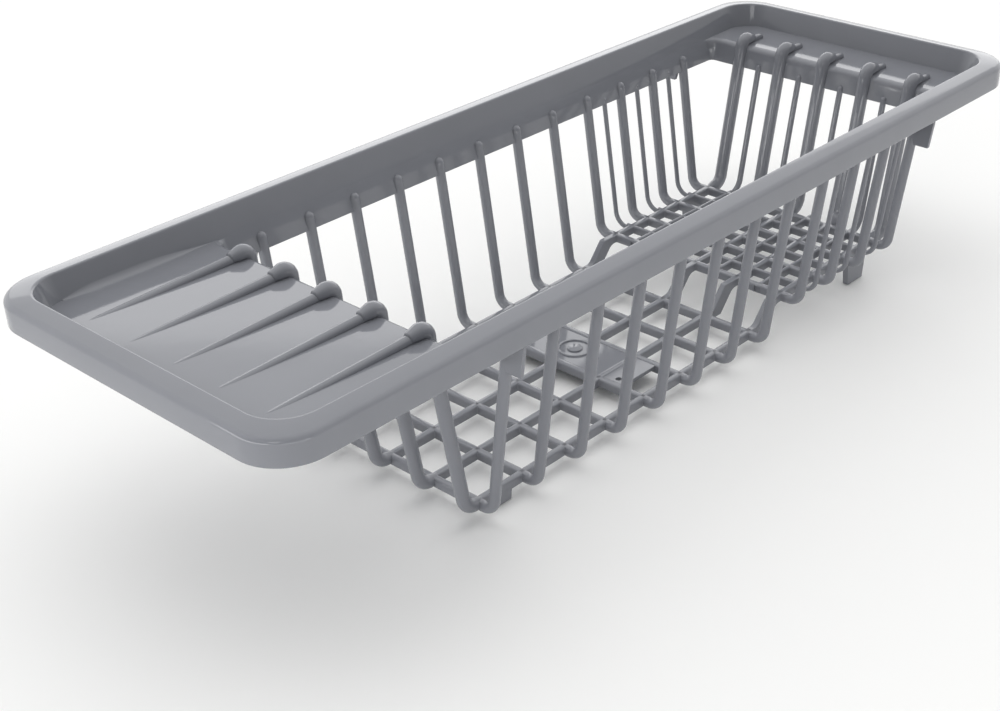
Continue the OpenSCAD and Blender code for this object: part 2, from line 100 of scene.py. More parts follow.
def finishPiece(name, shape, nodes, sharpAngle=32, bevel=None):
    mesh = bpy.data.meshes.new(name)
    mesh.from_pydata([tuple(c * mm for c in p) for p in shape.points], [], shape.faces)
    work = bmesh.new()
    work.from_mesh(mesh)
    bmesh.ops.recalc_face_normals(work, faces=work.faces)
    work.to_mesh(mesh)
    work.free()
    mesh.shade_smooth()
    mesh.set_sharp_from_angle(angle=math.radians(sharpAngle))
    piece = bpy.data.objects.new(name, mesh)
    bpy.context.scene.collection.objects.link(piece)
    if bevel:
        rounding = piece.modifiers.new("edgeRadius", "BEVEL")
        rounding.width = bevel * mm
        rounding.segments = 3
        rounding.limit_method = "ANGLE"
        rounding.angle_limit = math.radians(32)
        rounding.harden_normals = True
    mesh.materials.append(polypropylene)
    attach(piece, "root")
    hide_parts(*nodes)


def easeIn(value, start, end):
    t = min(max((value - start) / (end - start), 0), 1)
    return t * t * (3 - 2 * t)


def arc(centreX, centreY, radius, start, end, steps):
    return [(centreX + radius * math.cos(math.radians(start + (end - start) * i / steps)),
             centreY + radius * math.sin(math.radians(start + (end - start) * i / steps)))
            for i in range(steps + 1)]


def roundedPath(corners, radii, steps=12):
    path = [Vector(corners[0])]
    for i, radius in enumerate(radii):
        before, corner, after = (Vector(c) for c in corners[i:i + 3])
        inward = (before - corner).normalized()
        outward = (after - corner).normalized()
        half = inward.angle(outward) / 2
        reach = radius / math.tan(half)
        centre = corner + (inward + outward).normalized() * radius / math.sin(half)
        first = corner + inward * reach - centre
        last = corner + outward * reach - centre
        turn = first.angle_signed(last)
        for k in range(steps + 1):
            a = -turn * k / steps
            path.append(centre + Vector((first.x * math.cos(a) - first.y * math.sin(a),
                                         first.x * math.sin(a) + first.y * math.cos(a))))
    path.append(Vector(corners[-1]))
    return path


def refine(path, longest):
    fine = [path[0]]
    for a, b in zip(path, path[1:]):
        parts = max(1, math.ceil((b - a).length / longest))
        fine.extend(a.lerp(b, (k + 1) / parts) for k in range(parts))
    return fine


def tubeSections(path, radiusAt, place, sides=20, roundStart=False, roundEnd=False, startBulge=1.0):
    rings = []
    for i, p in enumerate(path):
        ahead = path[min(i + 1, len(path) - 1)] - path[max(i - 1, 0)]
        rings.append((p, ahead.normalized(), radiusAt(p)))

    def cap(p, along, radius, sign, bulge=1.0):
        return [(p + sign * along * radius * bulge * math.sin(math.radians(a)), along,
                 max(radius * math.cos(math.radians(a)), 0.02)) for a in (15, 30, 45, 60, 72, 82, 89)]
    if roundStart:
        rings = cap(*rings[0], -1, startBulge)[::-1] + rings
    if roundEnd:
        rings = rings + cap(*rings[-1], 1)
    sections = []
    for p, along, radius in rings:
        across = Vector((-along.y, along.x))
        ring = []
        for k in range(sides):
            a = 2 * math.pi * k / sides
            flat = p + across * radius * math.cos(a)
            ring.append(place(flat.x, radius * math.sin(a), flat.y))
        sections.append(ring)
    return sections


def facing(side, at):
    return {
        "front": lambda u, t, z: (at + t, -u, z),
        "back": lambda u, t, z: (at - t, u, z),
        "left": lambda u, t, z: (-u, at - t, z),
        "right": lambda u, t, z: (u, at + t, z),
    }[side]


# ---- Material ----

def toLinear(code):
    parts = [int(code[i:i + 2], 16) / 255 for i in (1, 3, 5)]
    return tuple(c / 12.92 if c <= 0.04045 else ((c + 0.055) / 1.055) ** 2.4 for c in parts) + (1,)


def addNode(material, kind, **settings):
    node = material.node_tree.nodes.new(kind)
    for key, value in settings.items():
        if key in node.inputs:
            node.inputs[key].default_value = value
        else:
            setattr(node, key, value)
    return node


# Injection-moulded polypropylene: an even mid grey with a gloss finish from a polished tool. The
# surface waves very slightly where the melt shrinks, so reflections are clear but never mirror flat.
plasticLook = {
    "grey": "#82848a",
    "deepGrey": "#7c7e84",
    "roughness": 0.07,
    "roughnessSpread": 0.02,
    "flowSize": 28.0,
    "sinkSize": 9.0,
    "sinkHeight": 0.012,
    "grainSize": 0.35,
    "grainHeight": 0.0012,
}


def makePolypropylene(look):
    material = bpy.data.materials.new("injectionMouldedPolypropylene")
    material.use_nodes = True
    links = material.node_tree.links
    surface = material.node_tree.nodes["Principled BSDF"]
    surface.inputs["IOR"].default_value = 1.49
    surface.inputs["Subsurface Weight"].default_value = 0.04
    surface.inputs["Subsurface Radius"].default_value = (0.6 * mm, 0.6 * mm, 0.6 * mm)
    surface.inputs["Subsurface Scale"].default_value = 1.0
    place = addNode(material, "ShaderNodeNewGeometry")
    flow = addNode(material, "ShaderNodeTexNoise", Scale=1 / (look["flowSize"] * mm), Detail=3.0)
    sink = addNode(material, "ShaderNodeTexNoise", Scale=1 / (look["sinkSize"] * mm), Detail=1.0)
    grain = addNode(material, "ShaderNodeTexNoise", Scale=1 / (look["grainSize"] * mm), Detail=2.0)
    for texture in (flow, sink, grain):
        links.new(place.outputs["Position"], texture.inputs["Vector"])
    tint = addNode(material, "ShaderNodeMix", data_type="RGBA")
    tint.inputs[6].default_value = toLinear(look["deepGrey"])
    tint.inputs[7].default_value = toLinear(look["grey"])
    links.new(flow.outputs["Fac"], tint.inputs[0])
    links.new(tint.outputs[2], surface.inputs["Base Color"])
    shine = addNode(material, "ShaderNodeMapRange")
    shine.inputs["To Min"].default_value = look["roughness"] - look["roughnessSpread"]
    shine.inputs["To Max"].default_value = look["roughness"] + look["roughnessSpread"]
    links.new(flow.outputs["Fac"], shine.inputs["Value"])
    links.new(shine.outputs["Result"], surface.inputs["Roughness"])
    broad = addNode(material, "ShaderNodeBump", Strength=1.0, Distance=look["sinkHeight"] * mm)
    fine = addNode(material, "ShaderNodeBump", Strength=1.0, Distance=look["grainHeight"] * mm)
    links.new(sink.outputs["Fac"], broad.inputs["Height"])
    links.new(grain.outputs["Fac"], fine.inputs["Height"])
    links.new(broad.outputs["Normal"], fine.inputs["Normal"])
    links.new(fine.outputs["Normal"], surface.inputs["Normal"])
    return material


polypropylene = makePolypropylene(plasticLook)
print("material made")

# ---- Rim: one band swept round the rack ----

low, high = [c / mm for c in startBounds[0]], [c / mm for c in startBounds[1]]
halfLength, halfWidth, top = (high[0] - low[0]) / 2, (high[1] - low[1]) / 2, high[2]
wallSlope = math.radians(16)
wallLean = math.tan(wallSlope)

rimSizes = {
    "outerCorner": 20.0,
    "ridgeCorner": 16.5,
    "width": 9.0,
    "skirtHeight": 12.7,
    "thickness": 2.0,
    "shoulderRadius": 2.7,
    "topFall": 1.0,
    "lipRadius": 0.9,
    "lipBreak": 0.4,
    "ridgeRadius": 0.9,
    "cornerSteps": 28,
}
plateEdgeDepth = 12.0


def softCorner(before, corner, after, size, steps=4):
    a = corner + (before - corner).normalized() * size
    b = corner + (after - corner).normalized() * size
    shares = [k / steps for k in range(steps + 1)]
    return [tuple(a.lerp(corner, t).lerp(corner.lerp(b, t), t)) for t in shares]


def rimSection(s):
    level = 1 / math.cos(wallSlope)
    foot = s["width"] + wallLean * plateEdgeDepth
    lip = s["lipRadius"]
    shoulder = s["shoulderRadius"]
    inner = shoulder - s["thickness"]
    points = [(lip + lip * math.cos(math.radians(a)),
               s["skirtHeight"] - lip + lip * math.sin(math.radians(a))) for a in (90, 112, 135, 158, 180)]
    points += [(shoulder + shoulder * math.cos(math.radians(a)),
                s["topFall"] + shoulder - shoulder * math.sin(math.radians(a))) for a in range(180, 99, -8)]
    points += softCorner(Vector((shoulder, s["topFall"])), Vector((s["width"], 0)),
                         Vector((foot, plateEdgeDepth)), s["ridgeRadius"])
    points.append((foot, plateEdgeDepth))
    points.append((foot - s["thickness"] * level, plateEdgeDepth))
    points.append((s["width"] - s["thickness"] * level + wallLean * s["thickness"], s["thickness"]))
    points += [(shoulder + inner * math.cos(math.radians(a)),
                s["topFall"] + shoulder - inner * math.sin(math.radians(a))) for a in range(100, 181, 16)]
    points += [(s["thickness"], s["skirtHeight"] - s["lipBreak"]),
               (s["thickness"] - s["lipBreak"], s["skirtHeight"])]
    return points


def rimCornerRadius(s, u):
    share = min(max(u / s["width"], 0), 1)
    return s["outerCorner"] + (s["ridgeCorner"] - s["outerCorner"]) * share - max(u - s["width"], 0)


def buildRim(s):
    section = rimSection(s)
    shape = Shape()
    sections = []
    for quarter in range(4):
        signX = (1, -1, -1, 1)[quarter]
        signY = (1, 1, -1, -1)[quarter]
        for k in range(s["cornerSteps"] + 1):
            a = math.radians(90 * quarter + 90 * k / s["cornerSteps"])
            ring = []
            for u, d in section:
                radius = rimCornerRadius(s, u)
                ring.append((signX * (halfLength - u - radius) + radius * math.cos(a),
                             signY * (halfWidth - u - radius) + radius * math.sin(a), top - d))
            sections.append(ring)
    shape.loft(sections, closedPath=True)
    finishPiece("rim", shape, [
        "rim_front", "rim_back", "rim_left", "rim_right", "rim_corner_front_left", "rim_corner_front_right",
        "rim_corner_back_left", "rim_corner_back_right"])


buildRim(rimSizes)
print("rim built")

# ---- Basket walls: a collar round the opening, rolled over into the two plates ----

collarSizes = {
    "depth": 23.2,
    "thickness": 2.08,
    "cornerRadius": 5.0,
    "shelfNose": 2.8,
    "ledgeNose": 3.0,
    "shelfCurve": 1.1,
    "ledgeCurve": 0.85,
    "lipRadius": 0.5,
    "rollShare": 0.7,
    "edgeReach": 0.75,
    "cornerSteps": 16,
    "noseSteps": 10,
}
plateSizes = {
    "thickness": 1.8,
    "shelfFall": 1.4,
    "ledgeFall": 0.4,
    "arm": 8.0,
    "buried": 0.5,
    "seamRadius": 3.0,
    "seamFade": 0.5,
    "seamStart": 5.0,
    "seamBehind": 0.8,
    "seamBelow": 0.4,
    "seamSteps": 40,
}
wallTop = 13.8
openLeft = nodeBox("wall_left")[0][0] + collarSizes["thickness"]
openRight = nodeBox("wall_right")[1][0] - collarSizes["thickness"]
openHalf = halfWidth - rimSizes["width"] - wallLean * wallTop


def plateDepth(x):
    if x < 0:
        start, far = openLeft + plateSizes["arm"], -halfLength + rimSizes["width"]
        fall = plateSizes["shelfFall"]
    else:
        start, far = openRight - plateSizes["arm"], halfLength - rimSizes["width"]
        fall = plateSizes["ledgeFall"]
    return plateEdgeDepth - fall * (x - start) / (far - start)


def collarSection(s, rolled, nose, squareness):
    noseDepth = plateEdgeDepth + nose
    points = []
    for k in range(s["noseSteps"] + 1):
        a = math.radians(90 * k / s["noseSteps"])
        depth = noseDepth - nose * math.cos(a) ** squareness
        wallOut = -wallLean * (depth - wallTop)
        faceOut = -wallLean * (noseDepth - wallTop)
        rollOut = faceOut + nose * (1 - math.sin(a) ** squareness)
        points.append((wallOut + (rollOut - wallOut) * rolled, depth))
    low = -wallLean * (s["depth"] - wallTop)
    lip = s["lipRadius"]
    points += [(low + wallLean * lip, s["depth"] - lip), (low + lip * 0.35, s["depth"] - lip * 0.3),
               (low + lip, s["depth"]), (low + s["thickness"] - lip, s["depth"]),
               (low + s["thickness"] + wallLean * lip, s["depth"] - lip)]
    backTop = plateEdgeDepth + (wallTop - plateEdgeDepth) * rolled
    points.append((s["thickness"] - wallLean * (backTop - wallTop), backTop))
    return points


def buildCollar(s):
    shape = Shape()
    sections = []
    shelfEdge, ledgeEdge = [], []
    for quarter in range(4):
        signX = (1, -1, -1, 1)[quarter]
        signY = (1, 1, -1, -1)[quarter]
        centreX = openRight - s["cornerRadius"] if signX > 0 else openLeft + s["cornerRadius"]
        centreY = signY * (openHalf - s["cornerRadius"])
        nose = s["ledgeNose"] if signX > 0 else s["shelfNose"]
        curve = s["ledgeCurve"] if signX > 0 else s["shelfCurve"]
        for k in range(s["cornerSteps"] + 1):
            a = math.radians(90 * quarter + 90 * k / s["cornerSteps"])
            rolled = easeIn(abs(math.cos(a)), 0, s["rollShare"])
            ring = []
            for i, (out, depth) in enumerate(collarSection(s, rolled, nose, curve)):
                radius = s["cornerRadius"] + out
                x, y = centreX + radius * math.cos(a), centreY + radius * math.sin(a)
                if i == 0:
                    depth = plateDepth(x) if rolled > 0 else plateEdgeDepth
                    if abs(y) < openHalf + s["edgeReach"]:
                        (ledgeEdge if signX > 0 else shelfEdge).append((x, y))
                ring.append((x, y, top - depth))
            sections.append(ring)
    shape.loft(sections, closedPath=True)
    finishPiece("basketCollar", shape, ["wall_front", "wall_back", "wall_left", "wall_right"], sharpAngle=40)
    return shelfEdge, ledgeEdge


shelfEdge, ledgeEdge = buildCollar(collarSizes)


# The soft hollow between the shelf and the long walls, which fades out at both ends
def addSeams(shape, s, start, end):
    for side in (-1, 1):
        sections = []
        for i in range(s["seamSteps"] + 1):
            share = i / s["seamSteps"]
            x = start + (end - start) * share
            radius = s["seamRadius"] * easeIn(share, -0.02, s["seamFade"]) * easeIn(share, 1.1, 0.8)
            depth = plateDepth(x)
            wallY = halfWidth - rimSizes["width"] - wallLean * depth
            behind = wallY + s["seamBehind"]
            ring = [(x, side * behind, top - depth - s["seamBelow"]),
                    (x, side * (behind + wallLean * radius * 0.9), top - depth + radius * 0.9)]
            for k in range(9):
                a = math.radians(90 * k / 8)
                rise, out = radius * (1 - math.sin(a)), radius * (1 - math.cos(a))
                ring.append((x, side * (wallY + wallLean * rise + 0.05 - out), top - depth + rise))
            ring.append((x, side * (wallY - radius), top - depth - s["seamBelow"]))
            sections.append(ring)
        shape.loft(sections)


def buildPlate(name, s, edge, side, nodes):
    inset = rimSizes["width"] + wallLean * plateEdgeDepth - s["buried"]
    radius = rimCornerRadius(rimSizes, inset)
    farX = side * (halfLength - inset - radius)
    farY = halfWidth - inset - radius
    firstSign = 1 if edge[-1][1] > 0 else -1
    outline = list(edge)
    startAngle = 90 * firstSign
    midAngle = 0 if side > 0 else 180 * firstSign
    outline.append((edge[-1][0], firstSign * (farY + radius)))
    outline += arc(farX, firstSign * farY, radius, startAngle, midAngle, 20)
    outline += arc(farX, -firstSign * farY, radius, -midAngle, -startAngle, 20)
    outline.append((edge[0][0], -firstSign * (farY + radius)))
    shape = Shape()
    shape.slab(outline, lambda x: top - plateDepth(x) - s["thickness"], lambda x: top - plateDepth(x))
    if side < 0:
        addSeams(shape, s, openLeft + s["arm"] - s["seamStart"], farX)
    finishPiece(name, shape, nodes, sharpAngle=40)


# The quarters run anticlockwise from the right end's back corner, so the ledge's edge is put in order first
half = len(ledgeEdge) // 2
buildPlate("drainShelf", plateSizes, shelfEdge, -1, ["drain_shelf"])
buildPlate("endLedge", plateSizes, ledgeEdge[half:] + ledgeEdge[:half], 1, ["end_ledge"])
print("shelf, ledge and collar built")

# ---- Bars: round rods, each drawn in one pull from its head to the floor rib it becomes ----
# Depths are measured down from the rim's ridge, and leans in degrees from upright. "under" is how far a
# bend hangs below its floor rib, and "ribEnd" the radius at which the rod disappears in that rib.

barSizes = {
    "side": {"diameter": 4.9, "headDepth": 17.6, "lean": 7.86, "bend": 6.0, "under": 0.5, "ribEnd": 1.55},
    "thinSide": {"diameter": 2.4, "headDepth": 21.2, "lean": 7.86, "bend": 8.0, "under": -0.5,
                 "ribEnd": 0.95},
    "left": {"diameter": 5.9, "knob": 6.7, "knobDepth": 8.8, "elbow": 3.8, "lean": 9.7, "bend": 6.5,
             "under": 0.5, "ribEnd": 1.55, "knobOut": 0.5,
             "ribDiameter": 4.2, "ribDepth": 10.3, "ribEndDepth": 12.9, "ribReach": 75.0},
    "right": {"diameter": 6.6, "knob": 6.7, "knobDepth": 8.8, "elbow": 3.8, "lean": 11.75, "bend": 6.5,
              "under": 0.5, "ribEnd": 1.55, "knobOut": 0.6,
              "ribDiameter": 4.0, "ribDepth": 10.2, "ribEndDepth": 11.3, "ribReach": 15.5},
    "thinRight": {"diameter": 3.1, "headDepth": 21.2, "lean": 11.75, "bend": 8.0, "under": -0.5,
                  "ribEnd": 0.95},
    "headOut": 0.2,
    "intoRib": 7.0,
    "knobTail": 4.5,
    "knobDrop": 1.1,
    "knobTaper": 0.95,
    "sides": 24,
}
floorRibs = {
    "height": 4.3,
    "width": 3.4,
    "thinWidth": 2.2,
    "topRadius": 0.9,
    "bottomRadius": 0.4,
}

deepFloor = nodeBox("deep_cross_ribs")[0][2]
shallowFloor = nodeBox("shallow_cross_ribs")[0][2]
lanes = [middle("shelf_rib_%d" % i, 1) for i in range(1, 6)]
thinLanes = [(a + b) / 2 for a, b in zip(lanes, lanes[1:])]
deepBox = nodeBox("deep_cross_ribs")
shallowBox = nodeBox("shallow_cross_ribs")
firstStation = deepBox[0][0] + floorRibs["width"] / 2
lastStation = shallowBox[1][0] - floorRibs["width"] / 2
pitch = (lastStation - firstStation) / 11
deepStations = [firstStation + i * pitch for i in range(8)]
shallowStations = [firstStation + i * pitch for i in range(8, 12)]
thinStations = [x + pitch / 2 for x in shallowStations[:-1]]


def legCorners(headU, headZ, size, floorZ):
    axisZ = floorZ + size["diameter"] / 2 - size["under"]
    slope = math.tan(math.radians(size["lean"]))
    footU = headU - slope * (headZ - axisZ)
    endU = footU - size["bend"] * math.tan(math.radians((90 - size["lean"]) / 2)) - barSizes["intoRib"]
    ribMiddle = floorZ + floorRibs["height"] / 2
    return [(headU, headZ), (footU, axisZ), (endU, axisZ + (ribMiddle - axisZ) * 0.6)]


def addSideBar(shape, side, at, size, floorZ):
    headZ = top - size["headDepth"]
    headU = halfWidth - rimSizes["width"] - wallLean * barSizes["side"]["headDepth"] + barSizes["headOut"]
    slope = math.tan(math.radians(size["lean"]))
    headU -= slope * (size["headDepth"] - barSizes["side"]["headDepth"])
    corners = legCorners(headU, headZ, size, floorZ)
    path = refine(roundedPath(corners, [size["bend"]]), 2.5)
    radius = size["diameter"] / 2
    end = corners[-1][0]

    def radiusAt(p):
        return size["ribEnd"] + (radius - size["ribEnd"]) * easeIn(p.x, end, end + barSizes["intoRib"] + 1)
    shape.loft(tubeSections(path, radiusAt, facing(side, at), barSizes["sides"], roundStart=True))


def addEndBar(shape, side, lane, size, floorZ, edgeU):
    knobZ = top - size["knobDepth"]
    corners = legCorners(edgeU, knobZ, size, floorZ)
    behind = (edgeU + size["elbow"] + barSizes["knobTail"], knobZ - barSizes["knobDrop"])
    elbow = Vector((edgeU, knobZ))
    path = refine(roundedPath([behind] + corners, [size["elbow"], size["bend"]]), 2.5)
    leg, knob = size["diameter"] / 2, size["knob"] / 2
    end = corners[-1][0]

    def radiusAt(p):
        base = leg
        if p.y < floorZ + 12:
            base = size["ribEnd"] + (leg - size["ribEnd"]) * easeIn(p.x, end, end + barSizes["intoRib"] + 1)
        swell = 1 if p.x > edgeU else 1 - easeIn((p - elbow).length, 3.5, 9)
        return base + (knob - base) * swell - barSizes["knobTaper"] * easeIn(p.x, edgeU + 3.5, edgeU + 9)
    shape.loft(tubeSections(path, radiusAt, facing(side, lane), barSizes["sides"], roundStart=True,
                            startBulge=0.5))
    radius = size["ribDiameter"] / 2
    start = Vector((edgeU + 1, top - size["ribDepth"]))
    far = Vector((edgeU + size["ribReach"], top - size["ribEndDepth"]))
    shape.loft(tubeSections(refine([start, far], 4), lambda p: radius, facing(side, lane), barSizes["sides"],
                            roundEnd=True))


leftKnob = -openLeft + barSizes["left"]["knobOut"]
rightKnob = openRight + barSizes["right"]["knobOut"]
for index, lane in enumerate(lanes, 1):
    shape = Shape()
    addEndBar(shape, "left", lane, barSizes["left"], deepFloor, leftKnob)
    finishPiece("shelfBar%d" % index, shape, ["shelf_rib_%d" % index, "left_bar_%d" % index])
    shape = Shape()
    addEndBar(shape, "right", lane, barSizes["right"], shallowFloor, rightKnob)
    ledgeRibs = ["ledge_ribs"] if index == 1 else []
    finishPiece("ledgeBar%d" % index, shape, ["right_bar_%d" % index] + ledgeRibs)


def addThinEndBar(shape, lane, size, floorZ):
    slope = math.tan(math.radians(size["lean"]))
    headU = rightKnob - slope * (size["headDepth"] - barSizes["right"]["knobDepth"])
    corners = legCorners(headU, top - size["headDepth"], size, floorZ)
    path = refine(roundedPath(corners, [size["bend"]]), 2.5)
    radius = size["diameter"] / 2
    end = corners[-1][0]

    def radiusAt(p):
        return size["ribEnd"] + (radius - size["ribEnd"]) * easeIn(p.x, end, end + barSizes["intoRib"] + 1)
    shape.loft(tubeSections(path, radiusAt, facing("right", lane), roundStart=True))


shape = Shape()
for lane in thinLanes:
    addThinEndBar(shape, lane, barSizes["thinRight"], shallowFloor)
finishPiece("thinLedgeBars", shape, ["thin_right_bars"])

for side in ("front", "back"):
    for name, stations, size, floorZ in (("deep", deepStations, barSizes["side"], deepFloor),
                                         ("shallow", shallowStations, barSizes["side"], shallowFloor),
                                         ("thin", thinStations, barSizes["thinSide"], shallowFloor)):
        shape = Shape()
        for station in stations:
            addSideBar(shape, side, station, size, floorZ)
        finishPiece("%s%sBars" % (side, name.capitalize()), shape, ["%s_%s_bars" % (side, name)])
print("bars built")

# ---- Floors: a lattice of upright ribs with rounded upper edges ----


def ribOutline(width, height, s):
    half = width / 2
    upper, lower = s["topRadius"], s["bottomRadius"]
    upper = min(upper, half - 0.1)
    points = arc(half - upper, height - upper, upper, 0, 90, 5)
    points += arc(-half + upper, height - upper, upper, 90, 180, 5)
    points += arc(-half + lower, lower, lower, 180, 270, 3) + arc(half - lower, lower, lower, 270, 360, 3)
    return points


def addLongRib(shape, x0, x1, y, floorZ, width):
    outline = ribOutline(width, floorRibs["height"], floorRibs)
    shape.loft([[(x, y + t, floorZ + z) for t, z in outline] for x in (x0, x1)])


def addCrossRib(shape, x, halfY, floorZ, width):
    outline = ribOutline(width, floorRibs["height"], floorRibs)
    shape.loft([[(x + t, y, floorZ + z) for t, z in outline] for y in (-halfY, halfY)])


# Small fillets that fill the corners where two ribs cross
def addWebs(shape, xs, ys, floorZ, radius=1.1, xHalf=1.7, yHalf=1.7):
    for x in xs:
        for y in ys:
            for sx in (-1, 1):
                for sy in (-1, 1):
                    cx, cy = x + sx * (xHalf - 0.1), y + sy * (yHalf - 0.1)
                    reach = radius + 0.1
                    curve = [(cx + sx * reach * (1 - math.cos(math.radians(a))),
                              cy + sy * reach * (1 - math.sin(math.radians(a)))) for a in range(0, 91, 15)]
                    outline = [(cx, cy)] + curve
                    z0, z1 = floorZ + 0.5, floorZ + floorRibs["height"] - 0.75
                    shape.loft([[(px, py, z) for px, py in outline] for z in (z0, z1)])


deepEndY = deepBox[1][1]
shallowEndY = shallowBox[1][1]
deepLong = nodeBox("deep_long_ribs")
shallowLong = nodeBox("shallow_long_ribs")
thinLong = nodeBox("thin_long_ribs")
thinCross = nodeBox("thin_cross_ribs")
labelBox = nodeBox("label_plate")
rib = floorRibs["width"]

shape = Shape()
for lane in lanes:
    if abs(lane) < 1:
        addLongRib(shape, deepLong[0][0], labelBox[0][0] - 0.5, lane, deepFloor, rib)
        addLongRib(shape, labelBox[1][0] + 0.5, deepLong[1][0], lane, deepFloor, rib)
    else:
        addLongRib(shape, deepLong[0][0], deepLong[1][0], lane, deepFloor, rib)
addWebs(shape, deepStations, lanes, deepFloor)
finishPiece("deepLongRibs", shape, ["deep_long_ribs"])

shape = Shape()
for station in deepStations:
    addCrossRib(shape, station, deepEndY, deepFloor, rib)
finishPiece("deepCrossRibs", shape, ["deep_cross_ribs"])

shape = Shape()
for lane in lanes:
    addLongRib(shape, shallowLong[0][0], shallowLong[1][0], lane, shallowFloor, rib)
addWebs(shape, shallowStations, lanes, shallowFloor)
addWebs(shape, thinStations, lanes, shallowFloor, xHalf=1.1)
finishPiece("shallowLongRibs", shape, ["shallow_long_ribs"])

shape = Shape()
for station in shallowStations:
    addCrossRib(shape, station, shallowEndY, shallowFloor, rib)
addWebs(shape, shallowStations, thinLanes, shallowFloor, yHalf=1.1)
finishPiece("shallowCrossRibs", shape, ["shallow_cross_ribs"])

shape = Shape()
for lane in thinLanes:
    addLongRib(shape, thinLong[0][0] - 0.5, thinLong[1][0], lane, shallowFloor, floorRibs["thinWidth"])
finishPiece("thinLongRibs", shape, ["thin_long_ribs"])

shape = Shape()
for station in thinStations:
    addCrossRib(shape, station, thinCross[1][1], shallowFloor, floorRibs["thinWidth"])
addWebs(shape, thinStations, thinLanes, shallowFloor, xHalf=1.1, yHalf=1.1)
finishPiece("thinCrossRibs", shape, ["thin_cross_ribs"])
print("floors built")

# ---- Risers: straps that climb from the deep floor to the shallow one ----

riserSizes = {
    "run": 9.0,
    "width": 9.5,
    "fillet": 5.0,
    "overlap": 1.2,
    "edgeRadius": 0.6,
}


def buildRisers(s):
    x0 = deepStations[-1] + rib / 2
    x1 = shallowStations[0] - rib / 2
    climb = shallowFloor - deepFloor
    angle = math.degrees(math.atan2(climb, s["run"]))
    tangent = s["fillet"] * math.tan(math.radians(angle / 2))
    high = floorRibs["height"]

    def runTo(z):
        return (x0 + x1) / 2 + (z - (deepFloor + shallowFloor + high) / 2) * s["run"] / climb
    half = s["width"] / 2
    outline = [(x0 - s["overlap"], deepFloor), (runTo(deepFloor) + half, deepFloor)]
    outline += arc(runTo(shallowFloor) + half + tangent, shallowFloor - s["fillet"], s["fillet"],
                   90 + angle, 90, 8)
    outline += [(x1 + s["overlap"], shallowFloor), (x1 + s["overlap"], shallowFloor + high),
                (runTo(shallowFloor + high) - half, shallowFloor + high)]
    outline += arc(runTo(deepFloor + high) - half - tangent, deepFloor + high + s["fillet"], s["fillet"],
                   angle - 90, -90, 8)
    outline.append((x0 - s["overlap"], deepFloor + high))
    shape = Shape()
    for lane in lanes:
        shape.loft([[(x, lane + t, z) for x, z in outline] for t in (-rib / 2, rib / 2)])
    finishPiece("floorRisers", shape, ["floor_risers"], bevel=s["edgeRadius"])


buildRisers(riserSizes)
print("risers built")

# ---- Label plate: a plain field with a raised ring, and a small hole to hang a tag from ----

labelSizes = {
    "thickness": 1.8,
    "ringOuter": 8.3,
    "ringInner": 7.1,
    "dotRadius": 3.7,
    "raised": 0.7,
    "sunk": 0.2,
    "holeRadius": 1.5,
    "holeInset": (3.0, 5.0),
    "edgeRadius": 0.25,
}


def buildLabel(s):
    (x0, y0, z0), (x1, y1, _) = labelBox
    z1 = z0 + s["thickness"]
    holeX, holeY = x0 + s["holeInset"][0], y0 + s["holeInset"][1]
    steps, touching = 32, 1e-6
    hole = [(holeX + s["holeRadius"] * math.cos(2 * math.pi * k / steps),
             holeY + s["holeRadius"] * math.sin(2 * math.pi * k / steps)) for k in range(steps)]
    rim = []
    for k in range(steps):
        a = 2 * math.pi * k / steps
        c, n = math.cos(a), math.sin(a)
        reach = min((x1 - holeX if c > 0 else holeX - x0) / max(abs(c), touching),
                    (y1 - holeY if n > 0 else holeY - y0) / max(abs(n), touching))
        rim.append((holeX + reach * c, holeY + reach * n))
    shape = Shape()
    corners = [(x1, y1), (x0, y1), (x0, y0), (x1, y0)]
    for z in (z0, z1):
        start = len(shape.points)
        shape.points += [(x, y, z) for x, y in hole + rim + corners]
        for k in range(steps):
            n = (k + 1) % steps
            shape.faces.append((start + k, start + n, start + steps + n, start + steps + k))
            here, there = rim[k], rim[n]
            for i, (x, y) in enumerate(corners):
                onX = min(abs(here[0] - x), abs(there[0] - x)) < touching
                onY = min(abs(here[1] - y), abs(there[1] - y)) < touching
                shared = abs(here[0] - there[0]) < touching or abs(here[1] - there[1]) < touching
                if onX and onY and not shared:
                    shape.faces.append((start + steps + k, start + steps + n, start + 2 * steps + i))
    for k in range(steps):
        n = (k + 1) % steps
        other = 2 * steps + 4
        shape.faces.append((k, n, other + n, other + k))
    border = [(x0, y0), (x1, y0), (x1, y1), (x0, y1)]
    shape.loft([[(x, y, z) for x, y in border] for z in (z0, z1)], caps=False)
    cx, cy = (x0 + x1) / 2, (y0 + y1) / 2
    soft, foot, crown = s["edgeRadius"], z1 - s["sunk"], z1 + s["raised"]
    ring = [(s["ringInner"], foot), (s["ringInner"], crown - soft), (s["ringInner"] + soft, crown),
            (s["ringOuter"] - soft, crown), (s["ringOuter"], crown - soft), (s["ringOuter"], foot)]
    dot = [(0.01, crown), (s["dotRadius"] - soft, crown), (s["dotRadius"], crown - soft),
           (s["dotRadius"], foot), (0.01, foot)]
    turns = [2 * math.pi * k / 64 for k in range(64)]
    for profile in (ring, dot):
        shape.loft([[(cx + r * math.cos(a), cy + r * math.sin(a), z) for r, z in profile] for a in turns],
                   closedPath=True)
    finishPiece("labelPlate", shape, ["label_plate"], sharpAngle=50)


buildLabel(labelSizes)
print("label plate built")

# ---- Braces between skirt and walls, and the feet under the outer ribs ----

smallSizes = {
    "braceEdge": 0.3,
    "footEdge": 0.5,
    "braceTop": 9.0,
    "braceOuterRun": 2.2,
    "braceInnerRun": 1.5,
    "footTaper": 7.5,
    "footRoot": 1.2,
}


